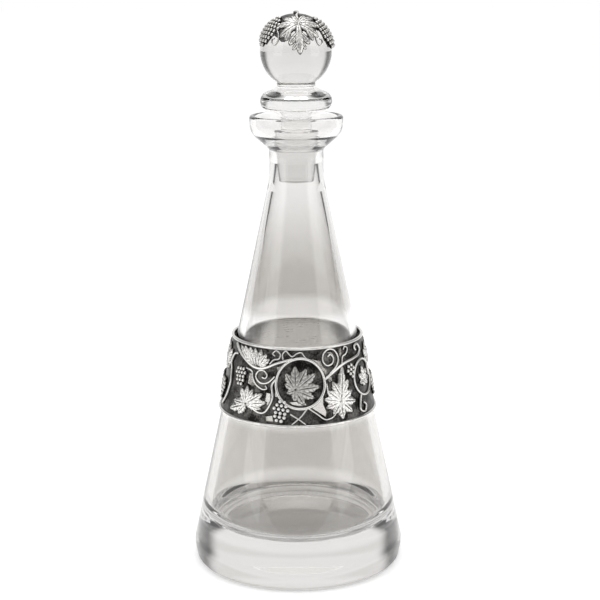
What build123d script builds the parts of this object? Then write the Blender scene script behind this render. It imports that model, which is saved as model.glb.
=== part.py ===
"""A glass decanter with a pewter vine band and a pewter-capped glass stopper, in millimetres.

+Z is up, and the origin is the centre of the foot ring, on the table. The decanter's front faces -Y.
"""

from build123d import *
import math
import os

# Vessel, outside
FLANK_RADIUS = 65.0  # of the straight outer cone, if it ran down to the table
FLANK_SLOPE = 0.216  # how much the outer radius shrinks for each millimetre up
FOOT_RADIUS = 60.9
HEEL_HEIGHT = 11.0
FOOT_ROUNDING = 4.5
HEEL_ROUNDING = 16.0
NECK_RADIUS = 15.6
NECK_ROUNDING = 55.0
NECK_TOP = 245.6
COLLAR_RADIUS = 26.9
COLLAR_FLARE_TOP = 255.0
COLLAR_TOP = 264.7
COLLAR_ROUNDING = 9.0
SEAT_FOOT_ROUNDING = 5.5
FLARE_ROUNDING = 3.0
LIP_WIDTH = 3.2
LIP_ROUNDING = 1.45
# Vessel, inside
NECK_WALL = 3.6
FLANK_WALL = 3.6  # at the shoulder
FLANK_THICKENING = 0.0102  # how much the wall gains for each millimetre down
FLOOR_THICKNESS = 24.0
FLOOR_ROUNDING = 11.0
CUP_FLOOR_GAP = 2.3  # from the flare's start up to the cup's floor
CUP_RISE = 8.5
CUP_WALL = 3.9
CUP_ROUNDING = 7.0
UNDERSIDE_HOLLOW_RADIUS = 50.0
UNDERSIDE_HOLLOW_DEPTH = 1.0
# The ground seat in the neck and the stopper's plug that fits it
SEAT_BOTTOM = 238.0
PLUG_BOTTOM = 227.0
PLUG_TOP = 254.6
PLUG_END_RADIUS = 9.8
PLUG_TAPER = 0.1125  # how much the plug's radius grows for each millimetre up
SEAT_CLEARANCE = 0.05
PLUG_ROUNDING = 0.8
# Stopper above the plug
SHANK_RADIUS = 8.9
DISC_BOTTOM = 263.9
DISC_RADIUS = 20.4
DISC_EDGE_LOW = 269.2
DISC_EDGE_HIGH = 276.2
DISC_TOP = 280.7
DISC_EDGE_ROUNDING = 5.0
STOPPER_NECK_RADIUS = 10.9
BALL_RADIUS = 20.3
BALL_CENTRE = 300.5
# Pewter band
BAND_BOTTOM = 93.0
BAND_HEIGHT = 45.0
BAND_CLEARANCE = 0.25  # between glass and sleeve at the lower edge
BAND_SLOPE = 0.19
SLEEVE_THICKNESS = 0.9
BEAD_RADIUS = 0.9
CEMENT_START = 1.0
CEMENT_HEIGHT = 3.0
LEAF_THICKNESS = 1.1
LEAF_RIB_THICKNESS = 1.6
VINE_THICKNESS = 1.3
BERRY_RADIUS = 1.2
BERRY_LIFT = 0.45
BERRY_SPACING = 2.45
# Pewter cap on the stopper
CAP_GAP = 0.15
CAP_GROUND_THICKNESS = 0.6
CAP_GROUND_RADIUS = 16.6
CAP_LEAF_THICKNESS = 0.8
CAP_RIB_THICKNESS = 1.3
CAP_TWIG_THICKNESS = 1.7
CAP_TWIG_WIDTH = 1.6
CAP_TENDRIL_WIDTH = 0.9
CAP_BERRY_RADIUS = 1.1
CAP_BERRY_SPACING = 2.46
CAP_CEMENT_LATITUDE = 66.0
CAP_POLE_HEADING = 45

FAR = 80.0  # longer than any radius here
BAND_TOP = BAND_BOTTOM + BAND_HEIGHT


def flank_radius(z):
    """The outer radius of the glass cone."""
    return FLANK_RADIUS - FLANK_SLOPE * z


def plug_radius(z):
    return PLUG_END_RADIUS + PLUG_TAPER * (z - PLUG_BOTTOM)


def sleeve_inner(z):
    return flank_radius(BAND_BOTTOM) + BAND_CLEARANCE - BAND_SLOPE * (z - BAND_BOTTOM)


def sleeve_outer(z):
    return sleeve_inner(z) + SLEEVE_THICKNESS


BAND_MIDDLE_RADIUS = sleeve_outer(BAND_BOTTOM + BAND_HEIGHT / 2)
CAP_INNER = BALL_RADIUS + CAP_GAP
CAP_GROUND = CAP_INNER + CAP_GROUND_THICKNESS


def turned(*corners):
    """A solid of revolution from the (radius, height) corners of its section."""
    section = make_face(Polyline(*[(r, 0, z) for r, z in corners], close=True))
    return revolve(section, Axis.Z)


def turned_smooth(corners, roundings):
    """The same, from an open outline that starts and ends on the axis, with rounded corners."""
    outline = FilletPolyline(*[(r, 0, z) for r, z in corners], radius=roundings)
    (r0, z0), (r1, z1) = corners[0], corners[-1]
    return revolve(make_face(outline + Line((r1, 0, z1), (r0, 0, z0))), Axis.Z)


# Glass


def vessel():
    """The blown body: a thick foot, a straight cone, a short neck and a cupped collar."""
    neck_foot = (FLANK_RADIUS - NECK_RADIUS) / FLANK_SLOPE
    cup_floor = NECK_TOP + CUP_FLOOR_GAP
    shoulder = neck_foot - 2 * NECK_WALL
    inner_shoulder = flank_radius(shoulder) - FLANK_WALL
    wall_at_floor = FLANK_WALL + FLANK_THICKENING * (shoulder - FLOOR_THICKNESS)
    inner_floor = flank_radius(FLOOR_THICKNESS) - wall_at_floor
    hollow_edge = UNDERSIDE_HOLLOW_RADIUS + UNDERSIDE_HOLLOW_DEPTH
    lip_inside = COLLAR_RADIUS - LIP_WIDTH
    cup_radius = COLLAR_RADIUS - CUP_WALL
    steps = [
        ((0, UNDERSIDE_HOLLOW_DEPTH), None),
        ((UNDERSIDE_HOLLOW_RADIUS, UNDERSIDE_HOLLOW_DEPTH), UNDERSIDE_HOLLOW_DEPTH),
        ((hollow_edge, 0), UNDERSIDE_HOLLOW_DEPTH / 2),
        ((FOOT_RADIUS, 0), FOOT_ROUNDING),
        ((flank_radius(HEEL_HEIGHT), HEEL_HEIGHT), HEEL_ROUNDING),
        ((NECK_RADIUS, neck_foot), NECK_ROUNDING),
        ((NECK_RADIUS, NECK_TOP), FLARE_ROUNDING),
        ((COLLAR_RADIUS - LIP_ROUNDING / 2, COLLAR_FLARE_TOP), COLLAR_ROUNDING),
        ((COLLAR_RADIUS, COLLAR_TOP), LIP_ROUNDING),
        ((lip_inside, COLLAR_TOP), LIP_ROUNDING),
        ((cup_radius, cup_floor + CUP_RISE), CUP_ROUNDING),
        ((plug_radius(cup_floor) + SEAT_CLEARANCE, cup_floor), LIP_ROUNDING / 2),
        ((plug_radius(SEAT_BOTTOM) + SEAT_CLEARANCE, SEAT_BOTTOM), SEAT_FOOT_ROUNDING),
        ((inner_shoulder, shoulder), FLARE_ROUNDING),
        ((inner_floor, FLOOR_THICKNESS), FLOOR_ROUNDING),
        ((0, FLOOR_THICKNESS), None),
    ]
    corners = [corner for corner, _ in steps]
    return turned_smooth(corners, [rounding for _, rounding in steps[1:-1]])


def stopper():
    """One piece of glass: the ground plug, the shank, the disc and the ball."""
    shoulder = plug_radius(PLUG_TOP)
    steps = [
        ((0, PLUG_BOTTOM), None),
        ((PLUG_END_RADIUS, PLUG_BOTTOM), PLUG_ROUNDING),
        ((shoulder, PLUG_TOP), PLUG_ROUNDING),
        ((SHANK_RADIUS, PLUG_TOP + PLUG_ROUNDING), PLUG_ROUNDING),
        ((SHANK_RADIUS, DISC_BOTTOM), 2 * PLUG_ROUNDING),
        ((DISC_RADIUS, DISC_EDGE_LOW), DISC_EDGE_ROUNDING),
        ((DISC_RADIUS, DISC_EDGE_HIGH), DISC_EDGE_ROUNDING),
        ((STOPPER_NECK_RADIUS, DISC_TOP), 2 * PLUG_ROUNDING),
        ((STOPPER_NECK_RADIUS, BALL_CENTRE), None),
        ((0, BALL_CENTRE), None),
    ]
    corners = [corner for corner, _ in steps]
    roundings = [rounding or 0 for _, rounding in steps[1:-1]]
    return turned_smooth(corners, roundings) + Pos(0, 0, BALL_CENTRE) * Sphere(BALL_RADIUS)


# Flat drawings of the ornament, shared by the band and the cap


# Half of a vine leaf one unit long, from its tip round to its stalk.
HALF_LEAF = [
    (0.00, 1.00), (0.09, 0.80), (0.20, 0.80), (0.16, 0.62), (0.29, 0.58), (0.17, 0.36),
    (0.38, 0.50), (0.62, 0.56), (0.52, 0.37), (0.66, 0.27), (0.48, 0.19), (0.30, 0.11),
    (0.54, 0.04), (0.63, -0.18), (0.43, -0.17), (0.38, -0.36), (0.20, -0.25),
    (0.11, -0.40), (0.00, -0.12),
]  # fmt: skip
LEAF_RIBS = [(0, 0.88), (0.54, 0.48), (-0.54, 0.48), (0.52, -0.13), (-0.52, -0.13)]
RIB_HALF_WIDTH = 0.035
CURVE_STEPS = 2
BLOCK_DEPTH = 25.0
BAND_BLOCK_START = 30.0
CAP_BLOCK_START = 8.0
BERRY_SIDES = 12
BERRY_BLOCK_DEPTH = 3.0
RELIEF_CLEARANCE = 0.03
TENDRIL_TAPER = 0.8


def placed(points, centre, turn, length, width=1.0):
    """Drawing points moved to centre, turned from straight up by turn degrees and scaled."""
    cos, sin = math.cos(math.radians(turn)), math.sin(math.radians(turn))
    moved = []
    for x, y in points:
        x, y = x * length * width, y * length
        moved.append((centre[0] + x * cos - y * sin, centre[1] + x * sin + y * cos))
    return moved


def leaf_outline():
    left = [(-x, y) for x, y in HALF_LEAF[-2:0:-1]]
    return HALF_LEAF + left


def rib_outlines():
    """Each rib is a long triangle from the stalk towards the tip of a lobe."""
    outlines = []
    for x, y in LEAF_RIBS:
        size = math.hypot(x, y)
        side = (-y / size * RIB_HALF_WIDTH, x / size * RIB_HALF_WIDTH)
        outlines.append([side, (-side[0], -side[1]), (x, y)])
    return outlines


def smooth_route(points):
    """A Catmull-Rom curve through the points, as CURVE_STEPS short runs between each two."""
    padded = [points[0], *points, points[-1]]
    route = []
    for a, b, c, d in zip(padded, padded[1:], padded[2:], padded[3:]):
        for n in range(CURVE_STEPS):
            t = n / CURVE_STEPS
            weights = (2 * t * t - t - t**3, 2 - 5 * t * t + 3 * t**3, t + 4 * t * t - 3 * t**3, t**3 - t * t)
            route.append(tuple(sum(w * v for w, v in zip(weights, vs)) / 2 for vs in zip(a, b, c, d)))
    return route + [points[-1]]


def ribbon(points, start_width, end_width):
    """The two edges of a stem that follows points and tapers from one width to the other."""
    points = smooth_route(points)
    left, right = [], []
    for n, (x, y) in enumerate(points):
        x0, y0 = points[max(n - 1, 0)]
        x1, y1 = points[min(n + 1, len(points) - 1)]
        size = math.hypot(x1 - x0, y1 - y0)
        half = (start_width + (end_width - start_width) * n / (len(points) - 1)) / 2
        dx, dy = (y0 - y1) / size * half, (x1 - x0) / size * half
        left.append((x + dx, y + dy))
        right.append((x - dx, y - dy))
    return left, right


def circle_points(centre, radius, count):
    steps = [2 * math.pi * n / count for n in range(count)]
    return [(centre[0] + radius * math.cos(a), centre[1] + radius * math.sin(a)) for a in steps]


def berry_places(rows, spacing):
    """A bunch of berries, hanging down from (0, 0): rows says how many lie in each row."""
    places = []
    for n, count in enumerate(rows):
        for k in range(count):
            places.append(((k - (count - 1) / 2) * spacing, -n * spacing * math.sqrt(0.75)))
    return places


# The band: a drawing is (arc from the front at the middle radius, height above the lower edge)


def band_point(arc, height, lift=0.0):
    angle, z = arc / BAND_MIDDLE_RADIUS, BAND_BOTTOM + height
    radius = sleeve_outer(z) + lift
    return Vector(radius * math.sin(angle), -radius * math.cos(angle), z)


def band_plane(arc):
    """The upright plane through the axis that faces outwards at this arc."""
    angle = arc / BAND_MIDDLE_RADIUS
    return Plane(
        origin=(0, 0, 0),
        x_dir=(math.cos(angle), math.sin(angle), 0),
        z_dir=(math.sin(angle), -math.cos(angle), 0),
    )


def band_shell(lift, top_lift):
    """The space between two cones that follow the outside of the sleeve, between the beads."""
    low, high = BAND_BOTTOM + 2 * BEAD_RADIUS, BAND_TOP - 2 * BEAD_RADIUS
    return turned(
        (sleeve_outer(low) + lift, low),
        (sleeve_outer(low) + top_lift, low),
        (sleeve_outer(high) + top_lift, high),
        (sleeve_outer(high) + lift, high),
    )


def block(points, plane, start):
    """A straight-sided block over this outline, from start out along the plane's normal."""
    face = make_face(Polyline(*points, close=True))
    return extrude(plane.offset(start) * face, amount=BLOCK_DEPTH)


def band_block(points):
    """A block over a drawing on the band, which a shell then cuts to its height."""
    plane = band_plane(sum(arc for arc, _ in points) / len(points))
    seen = [plane.to_local_coords(band_point(*point)) for point in points]
    return block([(point.X, point.Y) for point in seen], plane, BAND_BLOCK_START)


def band_stem(points, start_width, end_width):
    left, right = ribbon(points, start_width, end_width)
    return band_block(left + right[::-1])


def band_ring(centre, radius, width):
    outer, inner = [circle_points(centre, radius + side * width / 2, RING_POINTS) for side in (1, -1)]
    return band_block(outer) - band_block(inner)


RING_POINTS = 40
# Leaves of half the band: name, stalk end (arc, height), turn from upright, length, width
BAND_LEAVES = [
    ("upper_left", (-26.0, 33.4), 40, 13.0, 0.95),
    ("lower_left", (-30.4, 11.0), 8, 11.0, 1.25),
    ("ring", (0.5, 22.5), -38, 12.6, 1.05),
    ("right", (24.8, 13.4), -10, 20.0, 0.85),
    ("side", (-56.0, 29.5), 15, 11.5, 0.9),
    ("small_ring", (47.0, 20.6), 8, 8.6, 1.0),
    ("edge", (58.5, 31.0), 0, 9.5, 0.85),
]
# Bunches of half the band: name, top (arc, height), turn, berries in each row
BAND_BUNCHES = [
    ("front", (-8.2, 14.6), -8, [2, 3, 4, 3, 3, 2]),
    ("left", (-37.2, 29.6), 4, [3, 4, 3, 3, 2]),
    ("right", (34.2, 31.4), 12, [2, 3, 2, 1]),
    ("side", (-58.0, 18.6), 0, [3, 4, 4, 3, 2, 1]),
    ("edge", (61.0, 19.6), 0, [3, 4, 4, 3, 2, 1]),
]
# Stems of half the band: width at the start, width at the end, route
BAND_STEMS = [
    (2.2, 1.7, [(-46, 42.6), (-42, 39.3), (-34.1, 35.1), (-28.7, 32.7), (-23.1, 31.9),
                (-18.1, 33.2), (-13, 35.5), (-7.9, 37.2), (-2.8, 38.5)]),
    (1.9, 1.4, [(16.2, 26.6), (22, 30), (29.9, 33.5), (39.4, 35), (44.6, 35.9), (47.5, 38.6),
                (44.9, 42.0), (41.2, 41.0), (42.2, 38.9)]),
    (1.6, 1.2, [(-12.6, 26.6), (-14.6, 23.4), (-13.8, 16.9), (-15.4, 11.7), (-18, 7.9),
                (-21.6, 7.4), (-26.2, 9.4), (-29.6, 11)]),
    (1.6, 1.2, [(-42.6, 37.2), (-47, 36), (-49.8, 31), (-47.6, 26), (-46.8, 19), (-49.4, 11),
                (-54, 5)]),
    (1.4, 1.1, [(55, 21.4), (54.5, 27), (56.4, 30.2), (58.5, 31)]),
    (1.4, 1.1, [(41.2, 13.6), (39.2, 9.4), (38.6, 5.2), (42.4, 3.4), (44.4, 6.6), (42.2, 8.6)]),
    (1.3, 1.0, [(16.8, 24), (17.8, 17.8), (21.4, 14.4), (24.8, 13.4)]),
]  # fmt: skip
BAND_RINGS = [((1.8, 24.8), 14.0, 1.9), ((47.0, 22.4), 10.2, 1.5)]
# Tendrils of half the band: width, route
BAND_TENDRILS = [
    (1.3, [(19.4, 29.2), (24.2, 32.8), (26.1, 37.4), (24.2, 41.6), (20.2, 43), (16.4, 40.8),
           (15.6, 36.8), (18, 34), (21.4, 34.6), (22.8, 37.4), (21, 39.8), (18.8, 38.8)]),
    (1.3, [(-13.2, 28.4), (-17.2, 24.6), (-22, 24), (-25.2, 27), (-24, 30.2), (-20.4, 31),
           (-18, 28.8), (-19, 26.8), (-21.2, 27.2)]),
    (1.2, [(-33.4, 30.8), (-28.4, 29.6), (-27.2, 26), (-24.6, 22.6), (-20.4, 20.6),
           (-17.6, 21.2), (-18.6, 22.8)]),
    (1.1, [(-16.8, 35), (-14.4, 37.6), (-11.2, 38.4), (-10.4, 41), (-13, 42.8), (-15.2, 41),
           (-13.6, 39.8)]),
    (1.1, [(-8.6, 38.2), (-9, 41), (-7, 43), (-5.2, 41.4), (-3, 39.9), (-0.3, 41.6), (2.6, 42),
           (4.6, 39.6), (7.2, 37.6)]),
    (1.1, [(-3.8, 7.9), (0.5, 5.2), (4.2, 2.2)]),
    (1.1, [(5.4, 11.4), (1.8, 6.5), (-2.9, 2.2)]),
    (1.1, [(5.8, 11.2), (10.4, 7.6), (14.6, 4.2), (18.6, 4.6), (20.9, 6.6)]),
    (1.1, [(28.5, 33.8), (29.6, 37.4), (32.6, 38.6), (34.4, 41.4), (32.4, 42.8), (30.8, 41.2)]),
]  # fmt: skip
# Windows cut through the front of the sleeve, where the glass shows
BAND_WINDOWS = [
    [(-30.4, 28.2), (-28.2, 28.2), (-28, 25.6), (-25, 22.2), (-27.4, 21.4), (-31, 22.2)],
    [(-17.8, 18.8), (-15.4, 18.6), (-15.2, 15.2), (-16.8, 11.4), (-18.2, 13.6)],
    [(-12.6, 20.4), (-12.4, 17.2), (-9.8, 16.6), (-8.8, 16.2), (-10.6, 18.6)],
    [(-4.4, 14.4), (-2.8, 13.2), (0.8, 12.4), (5, 12.8), (4.2, 14), (-0.6, 14.8)],
    [(8.4, 38.2), (14.4, 36.8), (15.2, 33.6), (18, 31.2), (17.4, 29), (13.4, 33.4)],
    [(8, 11), (13, 15), (14.6, 17.6), (14.2, 12.4), (15.8, 8.2), (15.2, 5.6), (11.6, 8.4)],
    [(28, 39.4), (28.6, 42), (30, 42.6), (29.8, 39.6), (27.6, 36.2)],
    [(-17.2, 5.6), (-13.6, 6.4), (-13, 3.2), (-16.8, 3)],
    [(-12.8, 33.4), (-8.8, 34.6), (-11.4, 31.2)],
    [(18, 27.2), (20.4, 27.4), (20.8, 24.2), (18.8, 24.6)],
    [(19, 41), (21.6, 41.2), (23.6, 39), (23.6, 36.8), (22, 40)],
]


def front_and_back(solid):
    """The ornament of the front half and its copy on the back half."""
    return solid, Rot(0, 0, 180) * solid


def band_sleeve():
    """The rolled ground of the band, with its windows."""
    low, high = BAND_BOTTOM + BEAD_RADIUS, BAND_TOP - BEAD_RADIUS
    sleeve = turned(
        (sleeve_inner(low), low),
        (sleeve_outer(low), low),
        (sleeve_outer(high), high),
        (sleeve_inner(high), high),
    )
    return sleeve - [band_block(window) for window in BAND_WINDOWS]


def band_rim(edge, sleeve_side):
    """A round bead notched over one edge of the sleeve, which lies above it (1) or below it (-1)."""
    far = edge + sleeve_side * 2 * BEAD_RADIUS
    bead = Plane.XZ * Pos(sleeve_inner(edge) + BEAD_RADIUS, edge) * Circle(BEAD_RADIUS)
    notch = [(0, edge), (sleeve_outer(edge), edge), (sleeve_outer(far), far), (0, far)]
    notch = make_face(Polyline(*[(r, 0, z) for r, z in notch], close=True))
    return revolve(bead - notch, Axis.Z)


def band_leaf(stalk, turn, length, width, over, shells):
    """A leaf with raised ribs, cut clear of what lies over it."""
    body = clear_of(band_block(placed(leaf_outline(), stalk, turn, length, width)), over) & shells[0]
    ribs = [band_block(placed(outline, stalk, turn, length, width)) for outline in rib_outlines()]
    return body + [clear_of(rib, over) & shells[1] for rib in ribs]


def berry(radius, spot, outwards):
    """A berry seated flat on the ground at a spot, with its centre a little above it."""
    seat = math.degrees(math.asin(BERRY_LIFT / radius))
    above = Plane(origin=spot + outwards * BERRY_LIFT, z_dir=outwards)
    return above * Sphere(radius, arc_size1=-seat, align=None)


def berry_block(radius, spot, outwards):
    """A block round a berry, which keeps the other pieces clear of it."""
    below = Plane(origin=spot - outwards * BERRY_BLOCK_DEPTH, z_dir=outwards)
    face = below * RegularPolygon(radius + RELIEF_CLEARANCE, BERRY_SIDES, major_radius=False)
    return extrude(face, amount=2 * BERRY_BLOCK_DEPTH)


def band_bunch(top, turn, rows):
    """The berries of a bunch, and the blocks that keep the other pieces clear of them."""
    berries, blocks = [], []
    for place in placed(berry_places(rows, BERRY_SPACING), top, turn, 1):
        angle = place[0] / BAND_MIDDLE_RADIUS
        outwards = Vector(math.sin(angle), -math.cos(angle), BAND_SLOPE).normalized()
        berries.append(berry(BERRY_RADIUS, band_point(*place), outwards))
        blocks.append(berry_block(BERRY_RADIUS, band_point(*place), outwards))
    return berries, blocks


def clear_of(solid, others):
    """The solid without what those of the others that are near it take."""
    box = solid.bounding_box()
    near = []
    for other in others:
        theirs = other.bounding_box()
        gaps = [*(box.min - theirs.max), *(theirs.min - box.max)]
        if max(gaps) < 0:
            near.append(other)
    return solid - near if near else solid


def band_vine(over, shell):
    """The stems, rings and tendrils of half the band, fused, and cut clear of what lies over them."""
    blocks = [band_stem(route, start, end) for start, end, route in BAND_STEMS]
    blocks += [band_ring(centre, radius, width) for centre, radius, width in BAND_RINGS]
    blocks += [band_stem(route, width, width * TENDRIL_TAPER) for width, route in BAND_TENDRILS]
    blocks = [clear_of(each, over) for each in blocks]
    return (blocks[0] + blocks[1:]) & shell


# The cap: a drawing is (sideways, up) on a plane that faces out of the ball and is then domed


def cap_plane(tilt, heading):
    """A plane through the ball's centre that faces tilt degrees down from straight up."""
    lean, way = math.radians(tilt), math.radians(heading)
    return Plane(
        origin=(0, 0, BALL_CENTRE),
        x_dir=(math.cos(way), math.sin(way), 0),
        z_dir=(math.sin(lean) * math.sin(way), -math.sin(lean) * math.cos(way), math.cos(lean)),
    )


def domed(points, radius=BALL_RADIUS):
    """A drawing bent over the ball, seen straight on: lengths from its middle run along the ball."""
    seen = []
    for x, y in points:
        reach = math.hypot(x, y)
        shrink = radius * math.sin(reach / BALL_RADIUS) / reach if reach else 1
        seen.append((x * shrink, y * shrink))
    return seen


def cap_shell(inner, outer):
    """The space between two spheres, whose own poles and seams lie clear of the ornament."""
    lying = Pos(0, 0, BALL_CENTRE) * Rot(0, 0, CAP_POLE_HEADING) * Rot(0, 90, 0)
    return lying * (Sphere(outer) - Sphere(inner))


def cap_block(points, plane):
    return block(domed(points), plane, CAP_BLOCK_START)


def cap_stem(points, width, plane):
    left, right = ribbon(points, width, width)
    return cap_block(left + right[::-1], plane)


# Leaves of the cap: name, heading, tilt of the point that the lobes spread from, size
CAP_LEAVES = [("front", 5, 43, 1.0), ("back", 185, 43, 0.95)]
# Lobes of a cap leaf: root, tip, half of the width
CAP_LOBES = [
    ((0, 1), (0.6, -17.2), 2.6),
    ((0.1, -5), (-5.6, -11.8), 1.9), ((0.1, -5), (6.2, -11.2), 1.9),
    ((0.3, -10), (-3.8, -14.6), 1.3), ((0.3, -10), (4.2, -14.2), 1.3),
    ((0, 0), (-10.4, -6.2), 2.7), ((0, 0), (11.4, -5.8), 2.7),
    ((-4, -2), (-7.4, -9.2), 1.8), ((4, -2), (8.2, -8.8), 1.8),
    ((0, 0.5), (-11.4, 1.4), 2.6), ((0, 0.5), (12.4, 2.0), 2.6),
    ((0, 1), (-7.6, 6.2), 2.4), ((0, 1), (8.2, 6.8), 2.4),
    ((0, 1), (-2.8, 7.6), 1.8), ((0, 1), (4.0, 7.8), 1.8),
]  # fmt: skip
# Half of a lobe one unit long and one wide, from its root to its tip
LOBE_EDGE = [(0, 0.25), (0.25, 0.7), (0.55, 1.0), (0.82, 0.8), (0.96, 0.35)]
CAP_RIB_WIDTH = 1.1
# Bunches of the cap: name, heading, tilt, turn, height of the top row, berries in each row
CAP_BUNCHES = [
    ("left", -60, 56, -4, 9.2, [2, 4, 6, 7, 6, 6, 5, 4, 2]),
    ("right", 68, 60, 8, 9.4, [2, 4, 6, 6, 6, 6, 5, 4, 3]),
    ("back_left", -124, 58, 4, 8.4, [2, 4, 5, 5, 5, 4, 3]),
    ("back_right", 128, 58, -4, 8.4, [2, 4, 5, 5, 5, 4, 3]),
]
# Tongues of the ground under them: heading, tilt, bottom, half of the width
CAP_TONGUES = [
    (-60, 56, -7.6, 5.2), (68, 60, -8.0, 5.2), (-124, 58, -5.2, 5.0), (128, 58, -5.2, 5.0),
]  # fmt: skip
CAP_TWIG = [(0.9, -11.5), (0.4, -8), (1.2, -4.4), (-0.6, -1), (1.0, 3), (0.2, 8), (-0.9, 11.5)]
# Tendrils of the cap: heading, tilt, side that they curl to
CAP_TENDRILS = [(-34, 70, 1), (39, 71, -1), (148, 70, 1), (-144, 70, -1)]
CAP_CURL = [(-0.6, 5.5), (1.2, 2.8), (1.5, -0.4), (-0.1, -2.6), (-2.2, -1.8), (-2.2, 0.4), (-0.8, 0.8)]


def lobe_outline(root, tip, half, size):
    """A pointed lobe of a cap leaf, from its root to its tip."""
    along = Vector(tip[0] - root[0], tip[1] - root[1])
    across = Vector(-along.Y, along.X).normalized() * half
    left = [along * t + across * w for t, w in LOBE_EDGE]
    right = [along * t - across * w for t, w in reversed(LOBE_EDGE)]
    points = [*left, along, *right]
    return [((root[0] + point.X) * size, (root[1] + point.Y) * size) for point in points]


def cap_leaf(heading, tilt, size, over, shells):
    plane = cap_plane(tilt, heading)
    lobes = [cap_block(lobe_outline(*lobe, size), plane) for lobe in CAP_LOBES]
    root, tip, _ = CAP_LOBES[0]
    rib = cap_block(lobe_outline(root, tip, CAP_RIB_WIDTH / 2, size), plane)
    whole = clear_of(lobes[0] + lobes[1:], over)
    return whole, (whole & shells[0]) + (clear_of(rib, over) & shells[1])


def cap_ground():
    """The thin sheet under the ornament, with a tongue under each leaf and bunch."""
    shell = cap_shell(CAP_INNER, CAP_GROUND)
    pieces = [extrude(cap_plane(0, 0) * Circle(CAP_GROUND_RADIUS), amount=FAR)]
    for heading, tilt, bottom, half in CAP_TONGUES:
        top, waist = CAP_GROUND_RADIUS / 2, bottom * 0.4
        tongue = [(-half, top), (-half, waist), (-half / 2, bottom)]
        tongue += [(-x, y) for x, y in reversed(tongue)]
        pieces.append(cap_block(tongue, cap_plane(tilt, heading)))
    return (pieces[0] + pieces[1:]) & shell


def cap_bunch(heading, tilt, turn, top, rows):
    """The berries of a bunch, and the blocks that keep the other pieces clear of them."""
    plane = cap_plane(tilt, heading)
    berries, blocks = [], []
    for place in placed(berry_places(rows, CAP_BERRY_SPACING), (0, top), turn, 1):
        (u, v), = domed([place], CAP_GROUND)
        spot = plane.from_local_coords(Vector(u, v, math.sqrt(CAP_GROUND**2 - u * u - v * v)))
        outwards = (spot - plane.origin).normalized()
        berries.append(berry(CAP_BERRY_RADIUS, spot, outwards))
        blocks.append(berry_block(CAP_BERRY_RADIUS, spot, outwards))
    return berries, blocks


def cap_cement():
    """The film of clear cement that holds the cap on the ball."""
    wide = 2 * BALL_RADIUS * math.cos(math.radians(CAP_CEMENT_LATITUDE))
    film = extrude(cap_plane(0, 0) * Circle(wide / 2), amount=FAR)
    return film & cap_shell(BALL_RADIUS, CAP_INNER)


def band_cement():
    """The ring of clear cement that holds the band on the glass."""
    low = BAND_BOTTOM + BEAD_RADIUS + CEMENT_START
    high = low + CEMENT_HEIGHT
    return turned(
        (flank_radius(low), low),
        (sleeve_inner(low), low),
        (sleeve_inner(high), high),
        (flank_radius(high), high),
    )


def as_node(solids):
    """One shape from a solid or from several, for one file."""
    if not isinstance(solids, (list, tuple)):
        solids = [solids]
    flat = [solid for shape in solids for solid in shape.solids()]
    return flat[0] if len(flat) == 1 else Compound(children=flat)


def nodes():
    """Every piece by its node's name."""
    made = {"vessel": vessel(), "stopper": stopper()}
    made["band_sleeve"] = band_sleeve()
    made["band_lower_rim"] = band_rim(BAND_BOTTOM + BEAD_RADIUS, 1)
    made["band_upper_rim"] = band_rim(BAND_TOP - BEAD_RADIUS, -1)
    made["band_cement"] = band_cement()
    over = []
    for name, top, turn, rows in BAND_BUNCHES:
        berries, blocks = band_bunch(top, turn, rows)
        over += blocks
        for side, bunch in zip(("front", "back"), zip(*[front_and_back(b) for b in berries])):
            made[f"band_grapes_{name}_{side}"] = list(bunch)
    shells = band_shell(0, LEAF_THICKNESS), band_shell(LEAF_THICKNESS / 2, LEAF_RIB_THICKNESS)
    for name, *place in BAND_LEAVES:
        for side, copy in zip(("front", "back"), front_and_back(band_leaf(*place, over, shells))):
            made[f"band_leaf_{name}_{side}"] = copy
    over += [band_block(placed(leaf_outline(), *place)) for _, *place in BAND_LEAVES]
    vine = band_vine(over, band_shell(0, VINE_THICKNESS))
    for side, copy in zip(("front", "back"), front_and_back(vine)):
        made[f"band_vine_{side}"] = copy

    made["cap_ground"] = cap_ground()
    twig = cap_stem(CAP_TWIG, CAP_TWIG_WIDTH, cap_plane(0, 0))
    made["cap_twig"] = twig & cap_shell(CAP_GROUND, CAP_GROUND + CAP_TWIG_THICKNESS)
    over = [twig]
    for name, *place in CAP_BUNCHES:
        made[f"cap_grapes_{name}"], blocks = cap_bunch(*place)
        over += blocks
    shells = [
        cap_shell(CAP_GROUND, CAP_GROUND + CAP_LEAF_THICKNESS),
        cap_shell(CAP_GROUND + CAP_LEAF_THICKNESS / 2, CAP_GROUND + CAP_RIB_THICKNESS),
    ]
    leaves = []
    for name, *place in CAP_LEAVES:
        whole, made[f"cap_leaf_{name}"] = cap_leaf(*place, over, shells)
        leaves.append(whole)
    curls = []
    for heading, tilt, side in CAP_TENDRILS:
        route = [(x * side, y) for x, y in CAP_CURL]
        curl = cap_stem(route, CAP_TENDRIL_WIDTH, cap_plane(tilt, heading))
        curls.append(clear_of(curl, over + leaves) & shells[0])
    made["cap_tendrils"] = curls
    made["cap_cement"] = cap_cement()
    return made


os.makedirs("parts", exist_ok=True)
for node, shape in nodes().items():
    whole = as_node(shape)
    export_step(whole, f"parts/{node}.step")
    print(node, len(whole.solids()), "solids", round(whole.volume, 1), "mm3")
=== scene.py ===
# %% [markdown]
# A glass decanter with pewter grapevine mounts.
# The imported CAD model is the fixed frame: it says where every piece sits and how the stopper moves.
# This script dresses that frame: smooth glass that bends light, and sculpted pewter in place of the
# plain CAD relief. Lengths are written in millimetres and turned into metres by one factor.

# %% Load the frame
import math
import bpy
from mathutils import Matrix, Vector


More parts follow.
